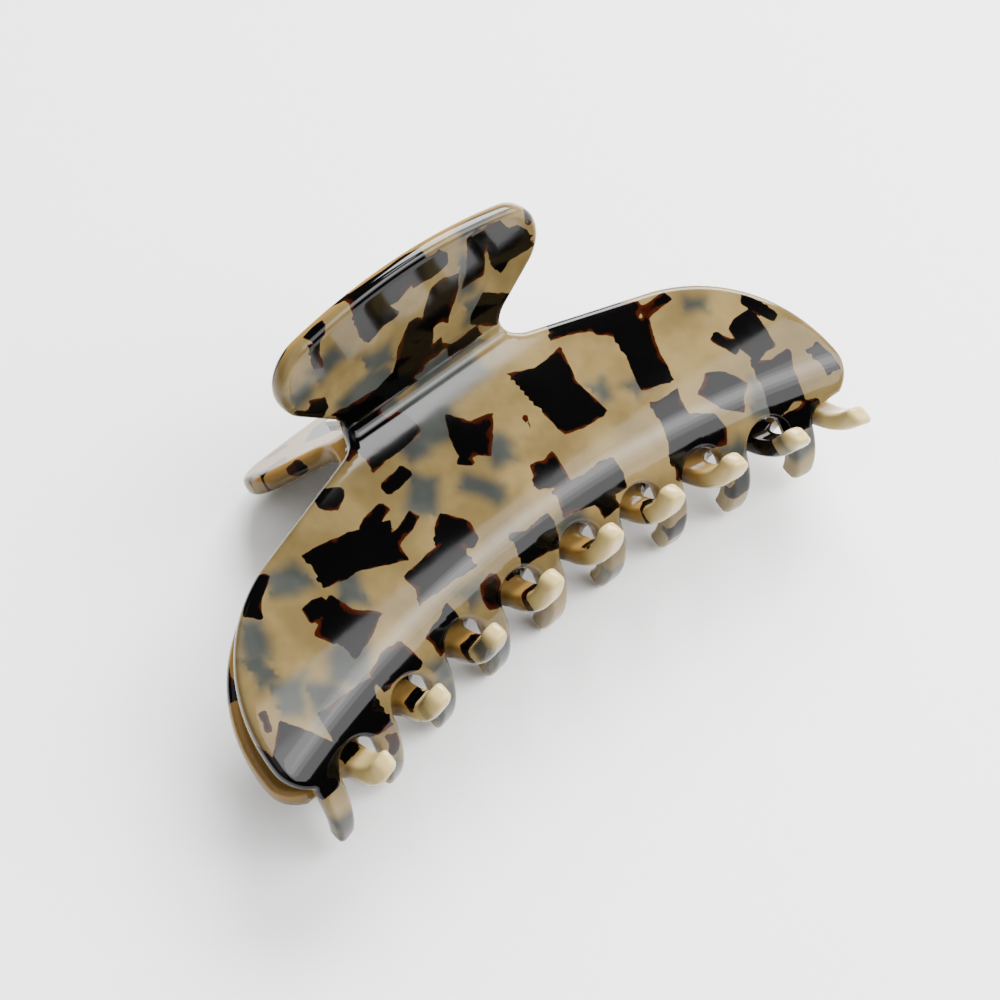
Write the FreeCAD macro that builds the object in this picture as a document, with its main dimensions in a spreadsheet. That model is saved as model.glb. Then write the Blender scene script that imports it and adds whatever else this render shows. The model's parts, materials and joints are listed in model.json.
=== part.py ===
"""Claw clip: two toothed jaws of bent sheet, hinged on a pin between their necks.

Each jaw is one sheet of cellulose acetate.  A flat handle flares out from the neck, the body
runs on as a shallow crown, and the far edge folds over into nine curved teeth.  The rear jaw
is the front jaw turned half round about the Y axis, so the teeth of one pass between the
teeth of the other.  A steel bracket is screwed inside each handle.  The two brackets share
one pin, and a torsion spring round the pin holds the clip shut.

The clip frame used to build the pieces: X along the jaws, Y towards the handles, Z out of the
front jaw, with Z = 0 midway between the jaws.  The finished clip lies on its rear handle and
on the tips of its front teeth, as it rests on a table, so every piece gets the same resting
placement.  Lengths are in millimetres and angles in degrees.
"""
import FreeCAD, Part
import math
import os
from FreeCAD import Placement, Rotation, Vector

DIMENSIONS = (
    ("tooth_pitch", 11.0, "spacing of the teeth"),
    ("tooth_root_width", 4.2, "width of a tooth beside the round root of a gap"),
    ("tooth_tip_width", 2.9, "width of a middle tooth at its tip"),
    ("tooth_length", 17.3, "middle tooth, from the root of a gap to the tip"),
    ("end_tooth_length", 11.5, "tooth at the end of the jaw"),
    ("sheet_thickness", 2.9, "thickness of the sheet"),
    ("jaw_half_length", 52.1, "middle of the jaw to its end"),
    ("fold_radius", 12.7, "middle of the sheet, where it folds into the teeth"),
    ("fold_reach", 21.9, "neck to the centre of the fold, at the middle"),
    ("fold_height", 4.05, "middle of the sheet above the mid plane at the fold"),
    ("root_angle", 30.5, "turn of the fold at the roots of the gaps"),
    ("arch_depth", 8.6, "how far the fold falls back at the end of the jaw"),
    ("edge_sag", 0.1, "how far the fold drops at the end of the jaw"),
    ("crown_radius", 150.0, "shallow crown of the body"),
    ("neck_radius", 4.0, "middle of the sheet at the neck bend"),
    ("neck_height", 3.6, "middle of the sheet above the mid plane at the neck"),
    ("neck_setback", 2.0, "lowest line of the neck bend, in front of the neck line"),
    ("neck_half_width", 14.2, "half the width of the waist"),
    ("notch_radius", 3.9, "round notch beside the waist"),
    ("notch_offset", 0.8, "centre of the notch behind the neck line"),
    ("flare_angle", 63.0, "handle to the mid plane"),
    ("handle_length", 21.5, "neck line to the far edge of the handle"),
    ("handle_half_width", 22.9, "half the width of the handle"),
    ("lobe_radius", 6.5, "round ends of the handle"),
    ("handle_edge_radius", 75.0, "far edge of the handle"),
    ("shoulder_radius", 24.1, "round end of the body"),
    ("shoulder_reach", 31.5, "neck line to the centre of that round"),
    ("corner_radius", 4.7, "corner beside the end tooth"),
    ("end_space", 3.2, "least distance from the end of the jaw to that corner's lower end"),
    ("end_angle", 33.0, "turn of the fold at the lower edge beyond the last tooth"),
    ("end_blend", 2.0, "fillet between that edge and the last tooth"),
    ("tip_round", 1.3, "round corners of a tooth's tip"),
    ("pivot_offset", 4.0, "hinge pin behind the neck line"),
    ("pin_diameter", 2.0, "hinge pin"),
    ("pin_clearance", 0.05, "gap round the pin in each ear"),
    ("pin_head_diameter", 3.8, "head and retainer of the pin"),
    ("pin_head_height", 0.8, "thickness of that head and retainer"),
    ("bracket_thickness", 0.8, "steel of the brackets"),
    ("bracket_length", 9.0, "bracket plate along the handle"),
    ("ear_radius", 2.1, "round end of an ear"),
    ("ear_length", 5.0, "foot of an ear along the plate"),
    ("ear_gap", 0.3, "side gap between the ears of the two brackets"),
    ("front_ear_offset", 7.0, "middle of the clip to a front ear"),
    ("screw_diameter", 1.6, "shank of a bracket screw"),
    ("screw_head_diameter", 2.8, "head of a bracket screw"),
    ("screw_head_height", 0.6, "height of that head"),
    ("screw_depth", 2.0, "shank inside the sheet"),
    ("screw_spacing", 5.0, "distance between the two screws of a bracket"),
    ("spring_wire", 0.9, "wire of the torsion spring"),
    ("spring_pitch", 1.15, "spacing of its turns"),
    ("spring_turns", 8, "whole turns"),
    ("spring_leg", 9.5, "straight leg of the spring"),
    ("spring_clearance", 0.05, "gap between a leg and its plate"),
)
LOFT_STATIONS = 7
FAR = 80.0            # longer than any cut
END_SLACK = 1.5       # spare sheet beyond each end, before the outline is cut
WAIST_OVERLAP = 25.0  # degrees of the notch that both outlines share
NECK_OVERLAP = 4.0    # length that both outlines share across the neck line
MESH_STEP = 0.05      # accuracy of the points that find how the clip rests
TILT_RANGE = (0.0, 45.0)
TILT_STEPS = 40


class Sizes:
    """The cells of the spreadsheet, read back as plain numbers."""

    def __init__(self, sheet):
        for alias, _, _ in DIMENSIONS:
            setattr(self, alias, float(sheet.get(alias)))
        self.half_sheet = self.sheet_thickness / 2
        self.tooth_shift = self.tooth_pitch / 4
        room = self.jaw_half_length - self.end_space - self.tooth_shift - self.tooth_root_width / 2
        self.tooth_count = int(2 * room / self.tooth_pitch) + 1
        self.gap_radius = (self.tooth_pitch - self.tooth_root_width) / 2
        self.gap_angle = self.root_angle + math.degrees(self.gap_radius / self.fold_radius)
        self.rear_ear_offset = self.front_ear_offset + self.bracket_thickness + self.ear_gap


def make_sheet(doc):
    """Write the driving dimensions into a spreadsheet, one aliased cell each."""
    sheet = doc.addObject("Spreadsheet::Sheet", "sizes")
    for row, (alias, value, meaning) in enumerate(DIMENSIONS, start=1):
        sheet.set(f"A{row}", alias)
        sheet.set(f"B{row}", str(value))
        sheet.set(f"C{row}", meaning)
        sheet.setAlias(f"B{row}", alias)
    doc.recompute()
    return sheet


def across(angle):
    """Unit vector in the YZ plane, measured from +Y towards +Z."""
    return Vector(0, math.cos(math.radians(angle)), math.sin(math.radians(angle)))


def arc(centre, radius, start, end):
    """Arc in a plane of constant X, from one angle to another."""
    points = [centre + across(a) * radius for a in (start, (start + end) / 2, end)]
    return Part.Arc(*points).toShape()


def angle_of(vector):
    return math.degrees(math.atan2(vector.z, vector.y))


# ---------------------------------------------------------------- the bent sheet of one jaw

def fold_centre(size, x):
    """Centre of the fold at a station along the jaw."""
    share = (x / size.jaw_half_length) ** 2
    return Vector(x, -size.fold_reach - size.arch_depth * share,
                  size.fold_height - size.fold_radius - size.edge_sag * share)


def neck_centre(size, x):
    return Vector(x, -size.neck_setback, size.neck_height + size.neck_radius)


def crown_centre(size, fold, neck):
    """Centre of the crown that is tangent to the neck bend and to the fold."""
    to_fold = size.crown_radius - size.fold_radius
    to_neck = size.crown_radius + size.neck_radius
    span = fold - neck
    along = (to_neck ** 2 - to_fold ** 2 + span.Length ** 2) / (2 * span.Length)
    aside = math.sqrt(to_neck ** 2 - along ** 2)
    direction = span.normalize()
    normal = Vector(0, -direction.z, direction.y)
    if normal.z > 0:
        normal = -normal
    return neck + direction * along + normal * aside


def tooth_length_at(size, x):
    """Length of the teeth, which shorten towards the ends of the jaw."""
    last_tooth = (size.tooth_count - 1) / 2 * size.tooth_pitch + size.tooth_shift
    share = (x / last_tooth) ** 2
    return size.tooth_length + (size.end_tooth_length - size.tooth_length) * min(share, 1.2)


def tip_angle(size, x):
    """Turn of the fold at the tips of the teeth."""
    return size.root_angle + math.degrees(tooth_length_at(size, x) / size.fold_radius)


def on_fold(size, x, turn, height=0.0):
    """Point of the fold at a turn, measured from the middle of the sheet."""
    return fold_centre(size, x) + across(90 + turn) * (size.fold_radius + height)


def sheet_side(size, x, height):
    """One face of the sheet at a station, from the foot of the handle to the tips of the teeth."""
    fold = fold_centre(size, x)
    neck = neck_centre(size, x)
    crown = crown_centre(size, fold, neck)
    neck_end = angle_of(crown - neck) % 360
    crown_start = angle_of(neck - crown)
    crown_end = angle_of(fold - crown)
    neck_start = 270 + size.flare_angle
    return [arc(neck, size.neck_radius - height, neck_start, neck_end),
            arc(crown, size.crown_radius + height, crown_start, crown_end),
            arc(fold, size.fold_radius + height, crown_end, 90 + tip_angle(size, x))]


def sheet_section(size, x):
    """Closed outline of the bent part of the sheet in the plane of one station."""
    outer = sheet_side(size, x, size.half_sheet)
    inner = sheet_side(size, x, -size.half_sheet)
    foot = Part.makeLine(outer[0].Vertexes[0].Point, inner[0].Vertexes[0].Point)
    tip = Part.makeLine(outer[-1].Vertexes[-1].Point, inner[-1].Vertexes[-1].Point)
    return Part.Wire(Part.__sortEdges__(outer + [tip] + inner + [foot]))


def neck_point(size):
    """Point of the neck line, half way round the bend."""
    half_bend = 270 + size.flare_angle / 2
    return neck_centre(size, 0) + across(half_bend) * size.neck_radius


def bent_sheet(size):
    """The sheet from the neck bend to the teeth, not yet cut to its outline."""
    reach = size.jaw_half_length + END_SLACK
    stations = [reach * (2 * i / (LOFT_STATIONS - 1) - 1) for i in range(LOFT_STATIONS)]
    return Part.makeLoft([sheet_section(size, x) for x in stations], True, False)


# ---------------------------------------------------------------- outlines of the sheet

def flat(x, y):
    return Vector(x, y, 0)


def towards(angle, length=1.0):
    """Vector in a flat outline, measured from +X towards +Y."""
    return flat(length * math.cos(math.radians(angle)), length * math.sin(math.radians(angle)))


def heading(vector):
    return math.degrees(math.atan2(vector.y, vector.x))


def round_arc(centre, radius, start, end):
    points = [centre + towards(a, radius) for a in (start, (start + end) / 2, end)]
    return Part.Arc(*points).toShape()


def crossing_tangent(first, first_radius, second, second_radius):
    """Angles at which a line touches two circles and passes between them."""
    span = second - first
    lean = math.degrees(math.acos((first_radius + second_radius) / span.Length))
    return heading(span), lean


def notch_centre(size):
    return flat(size.neck_half_width + size.notch_radius, size.notch_offset)


def arc_ends(edge):
    """First and last point of an arc, along its own direction."""
    return edge.valueAt(edge.FirstParameter), edge.valueAt(edge.LastParameter)


def half_face(pieces):
    """Face from half an outline: arcs and points in order, from the middle line round to it."""
    edges = []
    last = None
    for piece in pieces:
        first, end = arc_ends(piece) if isinstance(piece, Part.Shape) else (piece, piece)
        if last is not None and last.distanceToPoint(first) > 1e-6:
            edges.append(Part.makeLine(last, first))
        if isinstance(piece, Part.Shape):
            edges.append(piece)
        last = end
    mirrored = [edge.mirror(Vector(0, 0, 0), Vector(1, 0, 0)) for edge in edges]
    return Part.Face(Part.Wire(Part.__sortEdges__(edges + mirrored)))


def handle_face(size):
    """Outline of the handle in its own plane: X across, Y up the handle from the neck line."""
    far_centre = flat(0, size.handle_length - size.handle_edge_radius)
    lobe = flat(size.handle_half_width - size.lobe_radius, 0)
    inside = size.handle_edge_radius - size.lobe_radius
    lobe.y = far_centre.y + math.sqrt(inside ** 2 - lobe.x ** 2)
    meet = heading(lobe - far_centre)
    notch = notch_centre(size)
    line, lean = crossing_tangent(lobe, size.lobe_radius, notch, size.notch_radius)
    leave = line + lean
    below_waist = 180 + WAIST_OVERLAP
    return half_face([
        round_arc(far_centre, size.handle_edge_radius, 90, meet),
        round_arc(lobe, size.lobe_radius, meet, leave),
        round_arc(notch, size.notch_radius, leave + 180, below_waist),
        flat((notch + towards(below_waist, size.notch_radius)).x, -NECK_OVERLAP),
        flat(0, -NECK_OVERLAP)])


def body_face(size):
    """Outline of the body and teeth seen from above."""
    notch = notch_centre(size)
    shoulder = flat(size.jaw_half_length - size.shoulder_radius, -size.shoulder_reach)
    corner = flat(size.jaw_half_length - size.corner_radius, -size.shoulder_reach)
    line, lean = crossing_tangent(notch, size.notch_radius, shoulder, size.shoulder_radius)
    leave = line - lean
    above_waist = 180 - WAIST_OVERLAP
    flank = tooth_centre(size, size.tooth_count) + size.tooth_root_width / 2 + 2 * size.tooth_shift
    corner_end = -math.degrees(math.acos(max(0, flank - corner.x) / size.corner_radius))
    return half_face([
        flat(0, NECK_OVERLAP),
        flat((notch + towards(above_waist, size.notch_radius)).x, NECK_OVERLAP),
        round_arc(notch, size.notch_radius, above_waist, leave + 360),
        round_arc(shoulder, size.shoulder_radius, leave + 180, 0),
        round_arc(corner, size.corner_radius, 0, corner_end),
        flat(flank, (corner + towards(corner_end, size.corner_radius)).y),
        flat(flank, -FAR),
        flat(0, -FAR)])


def outline_tool(size):
    """Solid that keeps the handle outline above the neck and the body outline below it."""
    body = body_face(size).extrude(Vector(0, 0, FAR))
    body.translate(Vector(0, 0, -FAR / 2))
    handle = handle_face(size).extrude(Vector(0, 0, FAR / 2))
    tilted = Placement(neck_point(size), Rotation(Vector(1, 0, 0), size.flare_angle))
    handle.Placement = at(tilted, 0, 0, -FAR / 4)
    return body.fuse(handle)


# ---------------------------------------------------------------- a jaw

def tooth_centre(size, number):
    """X of a tooth, counted from 1 at the -X end of the front jaw."""
    return (number - (size.tooth_count + 1) / 2) * size.tooth_pitch - size.tooth_shift


def gap_frame(size, x, turn):
    """Placement at a gap: Y along the teeth and Z square to the sheet, inwards."""
    return Placement(on_fold(size, x, turn), Rotation(Vector(1, 0, 0), 180 + turn))


def feature(doc, name, shape):
    """Document object that holds a shape made by Part's own functions."""
    item = doc.addObject("Part::Feature", name)
    item.Shape = shape
    return item


def bind(item, **expressions):
    """Bind properties of an object to cells of the spreadsheet."""
    for prop, expression in expressions.items():
        item.setExpression(prop, expression)
    return item


def cylinder(doc, name, radius, height, place):
    """Cylinder bound to the sheet, with its base at a placement and its axis along Z."""
    item = bind(doc.addObject("Part::Cylinder", name), Radius=radius, Height=height)
    item.Placement = place
    return item


def box(doc, name, length, width, height, place):
    """Box bound to the sheet, with its corner at a placement."""
    item = bind(doc.addObject("Part::Box", name), Length=length, Width=width, Height=height)
    item.Placement = place
    return item


def fuse(doc, name, items):
    item = doc.addObject("Part::MultiFuse", name)
    item.Shapes = items
    return item


def cut(doc, name, base, tool):
    item = doc.addObject("Part::Cut", name)
    item.Base = base
    item.Tool = tool
    return item


def gap_wedge(doc, size, name, x, turn):
    """Space between two teeth, wider towards the tips.  It starts square to the sheet."""
    item = doc.addObject("Part::Wedge", name)
    bind(item,
         Xmin="-(sizes.tooth_pitch - sizes.tooth_root_width) / 2",
         Xmax="(sizes.tooth_pitch - sizes.tooth_root_width) / 2",
         X2min="-(sizes.tooth_pitch - sizes.tooth_tip_width) / 2",
         X2max="(sizes.tooth_pitch - sizes.tooth_tip_width) / 2",
         Ymax="sizes.fold_radius",
         Zmin="-sizes.fold_radius / 2", Z2min="-sizes.fold_radius / 2",
         Zmax="sizes.fold_radius * 1.6", Z2max="sizes.fold_radius * 1.6")
    item.Ymin = 0
    item.Placement = gap_frame(size, x, turn)
    return item


def gap_root(doc, size, name, x):
    """Round root of a gap."""
    place = gap_frame(size, x, size.gap_angle)
    place.Base = place.Base - place.Rotation.multVec(Vector(0, 0, size.sheet_thickness))
    return cylinder(doc, name, "(sizes.tooth_pitch - sizes.tooth_root_width) / 2",
                    "2 * sizes.sheet_thickness", place)


def gaps(doc, size, name):
    """Tools for every gap, with the ends of the jaw beyond the first and last tooth."""
    items = []
    for number in range(size.tooth_count + 1):
        x = tooth_centre(size, number + 0.5)
        at_end = number in (0, size.tooth_count)
        turn = size.end_angle if at_end else size.gap_angle
        items.append(gap_wedge(doc, size, f"{name}_gap_{number}", x, turn))
        if not at_end:
            items.append(gap_root(doc, size, f"{name}_gap_root_{number}", x))
    return fuse(doc, f"{name}_gaps", items)


def nearest_edge(shape, point):
    """Number of the edge whose middle is nearest a point."""
    distances = [edge.CenterOfMass.distanceToPoint(point) for edge in shape.Edges]
    return distances.index(min(distances)) + 1


def tip_corners(size):
    """Middle of each short edge at the tips of the teeth."""
    points = []
    for number in range(1, size.tooth_count + 1):
        x = tooth_centre(size, number)
        turn = tip_angle(size, x)
        for side in (-1, 1):
            at_end = (number, side) in ((1, -1), (size.tooth_count, 1))
            start = size.end_angle if at_end else size.gap_angle
            reach = size.fold_radius * math.sin(math.radians(turn - start))
            taper = (size.tooth_root_width - size.tooth_tip_width) / 2 * reach / size.fold_radius
            corner_x = x + side * (size.tooth_root_width / 2 - taper)
            points.append(on_fold(size, corner_x, tip_angle(size, corner_x)))
    return points


def make_jaw(doc, size, name):
    """One jaw in the clip frame, with the pilot holes of its bracket."""
    bent = feature(doc, f"{name}_bent_sheet", bent_sheet(size))
    plate = box(doc, f"{name}_handle_plate", "2 * sizes.handle_half_width", "sizes.handle_length",
                "sizes.sheet_thickness",
                at(bracket_frame(size), -size.handle_half_width, 0, -size.sheet_thickness))
    sheet = fuse(doc, f"{name}_sheet", [bent, plate])
    outline = feature(doc, f"{name}_outline", outline_tool(size))
    blank = doc.addObject("Part::Common", f"{name}_blank")
    blank.Base = sheet
    blank.Tool = outline
    holes = fuse(doc, f"{name}_cuts", [gaps(doc, size, name)] + pilot_holes(doc, size, name))
    toothed = cut(doc, f"{name}_toothed", blank, holes)
    doc.recompute()
    rounded = doc.addObject("Part::Fillet", name)
    rounded.Base = toothed
    last_flank = tooth_centre(size, size.tooth_count) + size.tooth_root_width / 2
    blend = on_fold(size, last_flank, size.end_angle)
    edges = [(nearest_edge(toothed.Shape, blend), size.end_blend, size.end_blend)]
    for point in tip_corners(size):
        edges.append((nearest_edge(toothed.Shape, point), size.tip_round, size.tip_round))
    rounded.Edges = edges
    return rounded


# ---------------------------------------------------------------- hinge

def bracket_frame(size):
    """Frame on the inner face of the front handle, where its flat part starts.

    X runs along the pin, Y up the handle and Z away from the handle, towards the pin.
    """
    start = neck_centre(size, 0) + across(270 + size.flare_angle) * (
        size.neck_radius + size.half_sheet)
    x_axis = Vector(-1, 0, 0)
    y_axis = across(size.flare_angle)
    return Placement(start, Rotation(x_axis, y_axis, x_axis.cross(y_axis), "XYZ"))


def pivot_in_bracket(size):
    """The pin's axis in the bracket's frame."""
    return bracket_frame(size).inverse().multVec(Vector(0, size.pivot_offset, 0))


def at(frame, x, y, z, rotation=Rotation()):
    """Placement at a point of a frame."""
    return frame.multiply(Placement(Vector(x, y, z), rotation))


def screw_points(size):
    reach = size.bracket_length - size.screw_head_diameter * 0.8
    return [(side * size.screw_spacing / 2, reach) for side in (-1, 1)]


def pilot_holes(doc, size, name):
    """Holes in the inner face of the handle for the bracket's screws."""
    frame = bracket_frame(size)
    return [cylinder(doc, f"{name}_pilot_{number}", "sizes.screw_diameter / 2",
                     "sizes.screw_depth", at(frame, x, y, -size.screw_depth))
            for number, (x, y) in enumerate(screw_points(size))]


def ear_shape(size):
    """Ear lying flat: from its foot on the plate to the round end, with the hole for the pin."""
    pivot = pivot_in_bracket(size)
    centre = flat(pivot.y, pivot.z)
    heel = flat(0, 0)
    toe = flat(size.ear_length, 0)
    tangents = []
    for point, side in ((toe, 1), (heel, -1)):
        span = point - centre
        tangents.append(heading(span) + side * math.degrees(math.acos(size.ear_radius / span.Length)))
    start, end = tangents
    round_end = round_arc(centre, size.ear_radius, start, end if end > start else end + 360)
    first, last = arc_ends(round_end)
    edges = [Part.makeLine(toe, first), round_end, Part.makeLine(last, heel),
             Part.makeLine(heel, toe)]
    side_view = Part.Face(Part.Wire(Part.__sortEdges__(edges)))
    hole = Part.makeCylinder(size.pin_diameter / 2 + size.pin_clearance,
                             size.bracket_thickness, centre)
    return side_view.extrude(Vector(0, 0, size.bracket_thickness)).cut(hole)


def make_bracket(doc, size, name, ear_offset):
    """Steel bracket on the inner face of the front handle: a plate with two ears."""
    frame = bracket_frame(size)
    half = size.bracket_thickness / 2
    width = "2 * sizes.front_ear_offset + sizes.bracket_thickness"
    if ear_offset > size.front_ear_offset:
        width += " + 2 * (sizes.bracket_thickness + sizes.ear_gap)"
    plate = box(doc, f"{name}_plate", width, "sizes.bracket_length", "sizes.bracket_thickness",
                at(frame, -ear_offset - half, 0, 0))
    upright = Rotation(Vector(0, 1, 0), Vector(0, 0, 1), Vector(1, 0, 0), "XYZ")
    ears = []
    for number, x in enumerate((-ear_offset, ear_offset)):
        ear = feature(doc, f"{name}_ear_{number}", ear_shape(size))
        ear.Placement = at(frame, x - half, 0, 0, upright)
        ears.append(ear)
    solid = fuse(doc, f"{name}_plate_and_ears", [plate] + ears)
    holes = [cylinder(doc, f"{name}_hole_{number}", "sizes.screw_diameter / 2",
                      "sizes.bracket_thickness", at(frame, x, y, 0))
             for number, (x, y) in enumerate(screw_points(size))]
    return cut(doc, name, solid, fuse(doc, f"{name}_holes", holes))


def make_screws(doc, size, name):
    """The two screws of a bracket, each a head and a shank."""
    frame = bracket_frame(size)
    parts = []
    for number, (x, y) in enumerate(screw_points(size)):
        head = cylinder(doc, f"{name}_head_{number}", "sizes.screw_head_diameter / 2",
                        "sizes.screw_head_height", at(frame, x, y, size.bracket_thickness))
        shank = cylinder(doc, f"{name}_shank_{number}", "sizes.screw_diameter / 2",
                         "sizes.screw_depth + sizes.bracket_thickness",
                         at(frame, x, y, -size.screw_depth))
        parts += [head, shank]
    return fuse(doc, name, parts)


def along_pin(size, x):
    """Placement on the pin's axis, with Z along the pin."""
    return Placement(Vector(x, size.pivot_offset, 0), Rotation(Vector(0, 1, 0), 90))


def pin_reach(size):
    """Half the length of the pin between its head and its retainer."""
    return size.rear_ear_offset + size.bracket_thickness / 2 + size.ear_gap / 2


def make_pin(doc, size, name):
    """Hinge pin with one head.  The other end passes through the retainer."""
    reach = pin_reach(size)
    rod = cylinder(doc, f"{name}_rod", "sizes.pin_diameter / 2",
                   "2 * sizes.front_ear_offset + 3 * sizes.bracket_thickness"
                   " + 3 * sizes.ear_gap + 2 * sizes.pin_head_height", along_pin(size, -reach))
    head = cylinder(doc, f"{name}_head", "sizes.pin_head_diameter / 2",
                    "sizes.pin_head_height", along_pin(size, -reach - size.pin_head_height))
    return fuse(doc, name, [rod, head])


def make_retainer(doc, size, name):
    """Push-on ring that keeps the pin in the ears."""
    place = along_pin(size, pin_reach(size))
    ring = cylinder(doc, f"{name}_ring", "sizes.pin_head_diameter / 2",
                    "sizes.pin_head_height", place)
    bore = cylinder(doc, f"{name}_bore", "sizes.pin_diameter / 2",
                    "sizes.pin_head_height", place)
    return cut(doc, name, ring, bore)


def make_spring(doc, size, name):
    """Torsion spring round the pin, with a straight leg along each bracket plate."""
    pivot = pivot_in_bracket(size)
    plate_gap = pivot.z - size.bracket_thickness
    radius = plate_gap - size.spring_wire / 2 - size.spring_clearance
    start = 90 + size.flare_angle
    turns = size.spring_turns + (360 - 2 * start) / 360
    height = turns * size.spring_pitch
    frame = Placement(Vector(-height / 2, size.pivot_offset, 0),
                      Rotation(across(start), across(start + 90), Vector(1, 0, 0), "XYZ"))
    slope = math.atan2(size.spring_pitch, 2 * math.pi * radius)
    along = Vector(0, math.cos(slope), math.sin(slope))
    helix = bind(doc.addObject("Part::Helix", f"{name}_line"), Pitch="sizes.spring_pitch")
    helix.Height = height
    helix.Radius = radius
    section = bind(doc.addObject("Part::Circle", f"{name}_section"),
                   Radius="sizes.spring_wire / 2")
    section.Placement = Placement(Vector(radius, 0, 0), Rotation(Vector(0, 0, 1), along))
    doc.recompute()
    coil = doc.addObject("Part::Sweep", f"{name}_coil")
    coil.Sections = [section]
    coil.Spine = (helix, [f"Edge{i + 1}" for i in range(len(helix.Shape.Edges))])
    coil.Solid = True
    coil.Frenet = True
    coil.Placement = frame
    end_angle = turns * 360
    end_turn = Rotation(Vector(0, 0, 1), end_angle)
    end_point = end_turn.multVec(Vector(radius, 0, 0)) + Vector(0, 0, height)
    legs = []
    for label, point, direction in (("front", Vector(radius, 0, 0), -along),
                                    ("rear", end_point, end_turn.multVec(along))):
        leg = cylinder(doc, f"{name}_{label}_leg", "sizes.spring_wire / 2", "sizes.spring_leg",
                       frame.multiply(Placement(point, Rotation(Vector(0, 0, 1), direction))))
        legs.append(leg)
    return fuse(doc, name, [coil] + legs)


# ---------------------------------------------------------------- the whole clip

def turned(doc, item, name):
    """The same piece on the rear jaw: turned half round about the Y axis."""
    copy = feature(doc, name, item.Shape)
    copy.Placement = Placement(Vector(0, 0, 0), Rotation(Vector(0, 1, 0), 180)).multiply(
        item.Placement)
    return copy


def surface_points(items):
    """Points spread over the surfaces of the pieces."""
    return [point for item in items for point in item.Shape.tessellate(MESH_STEP)[0]]


def lowest(points, tilt, side):
    """Lowest height, at a tilt, of the points on one side of the neck line."""
    up = Vector(0, math.sin(math.radians(tilt)), math.cos(math.radians(tilt)))
    return min(point.dot(up) for point in points if point.y * side > 0)


def resting_tilt(points):
    """Tilt about X at which the rear handle and the front teeth touch the table together."""
    low, high = TILT_RANGE
    for _ in range(TILT_STEPS):
        middle = (low + high) / 2
        if lowest(points, middle, 1) < lowest(points, middle, -1):
            low = middle
        else:
            high = middle
    return (low + high) / 2


def resting_placement(items):
    """Placement that lays the clip on Z = 0 with the middle of its footprint at the origin."""
    points = surface_points(items)
    turn = Rotation(Vector(1, 0, 0), resting_tilt(points))
    placed = [turn.multVec(point) for point in points]
    spans = [(min(axis), max(axis)) for axis in zip(*[(p.x, p.y, p.z) for p in placed])]
    middle = [(low + high) / 2 for low, high in spans]
    return Placement(Vector(-middle[0], -middle[1], -spans[2][0]), turn)


def check_document(doc, nodes):
    """Stop if any object failed or any piece is not a sound solid."""
    for item in doc.Objects:
        if "Invalid" in item.State or "Error" in item.State:
            raise RuntimeError(f"{item.Name} failed: {item.State}")
    for node in nodes:
        if node.Shape.isNull() or not node.Shape.isValid() or not node.Shape.Solids:
            raise RuntimeError(f"{node.Label} is not a valid solid")


def main():
    doc = FreeCAD.newDocument("claw_clip")
    size = Sizes(make_sheet(doc))
    front_jaw = make_jaw(doc, size, "front_jaw")
    front_bracket = make_bracket(doc, size, "front_bracket", size.front_ear_offset)
    rear_bracket_base = make_bracket(doc, size, "rear_bracket_base", size.rear_ear_offset)
    front_screws = make_screws(doc, size, "front_bracket_screws")
    pin = make_pin(doc, size, "hinge_pin")
    retainer = make_retainer(doc, size, "pin_retainer")
    spring = make_spring(doc, size, "torsion_spring")
    doc.recompute()
    rear_jaw = turned(doc, front_jaw, "rear_jaw")
    rear_bracket = turned(doc, rear_bracket_base, "rear_bracket")
    rear_screws = turned(doc, front_screws, "rear_bracket_screws")
    nodes = [front_jaw, rear_jaw, front_bracket, rear_bracket, front_screws, rear_screws,
             pin, retainer, spring]
    rest = resting_placement([front_jaw, rear_jaw])
    for node in nodes:
        node.Label = node.Name
        node.Placement = rest.multiply(node.Placement)
    doc.recompute()
    check_document(doc, nodes)
    os.makedirs("parts", exist_ok=True)
    for node in nodes:
        node.Shape.exportStep(f"parts/{node.Label}.step")
    pivot = rest.multVec(Vector(0, size.pivot_offset, 0))
    print("rest tilt", rest.Rotation.Angle * 180 / math.pi, "offset", rest.Base)
    print("pin axis passes", pivot)


main()
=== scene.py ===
"""Looks of the claw clip: two polished tortoiseshell jaws round a small steel hinge.

The jaws are built here as smooth closed sheets with rounded edges, from the same formulas and
sizes as the CAD part.  Lengths are in millimetres in the clip frame, and become metres when a
mesh is placed.  Sheet coordinates: x along the jaw, v up the sheet from the neck line (positive
on the handle), h outwards from the middle of the sheet.
"""
import json
import math

import bpy
import numpy as np
from mathutils import Euler, Matrix, Vector
from mathutils.geometry import delaunay_2d_cdt


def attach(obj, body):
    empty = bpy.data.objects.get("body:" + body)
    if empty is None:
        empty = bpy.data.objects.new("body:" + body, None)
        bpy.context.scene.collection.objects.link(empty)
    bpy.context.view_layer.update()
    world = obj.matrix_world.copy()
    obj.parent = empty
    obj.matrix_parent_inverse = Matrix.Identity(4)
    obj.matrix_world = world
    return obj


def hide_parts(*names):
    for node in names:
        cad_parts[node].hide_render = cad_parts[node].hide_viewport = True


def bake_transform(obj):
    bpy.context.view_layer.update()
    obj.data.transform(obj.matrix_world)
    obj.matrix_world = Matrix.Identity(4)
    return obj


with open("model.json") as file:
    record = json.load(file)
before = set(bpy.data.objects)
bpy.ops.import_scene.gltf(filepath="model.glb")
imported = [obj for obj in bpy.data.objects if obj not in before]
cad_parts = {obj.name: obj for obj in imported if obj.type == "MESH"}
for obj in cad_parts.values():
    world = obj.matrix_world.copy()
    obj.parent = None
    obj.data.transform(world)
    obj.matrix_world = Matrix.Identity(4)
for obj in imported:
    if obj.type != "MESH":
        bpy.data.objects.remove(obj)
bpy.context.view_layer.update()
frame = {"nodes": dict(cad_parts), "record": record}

MM = 0.001
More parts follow.
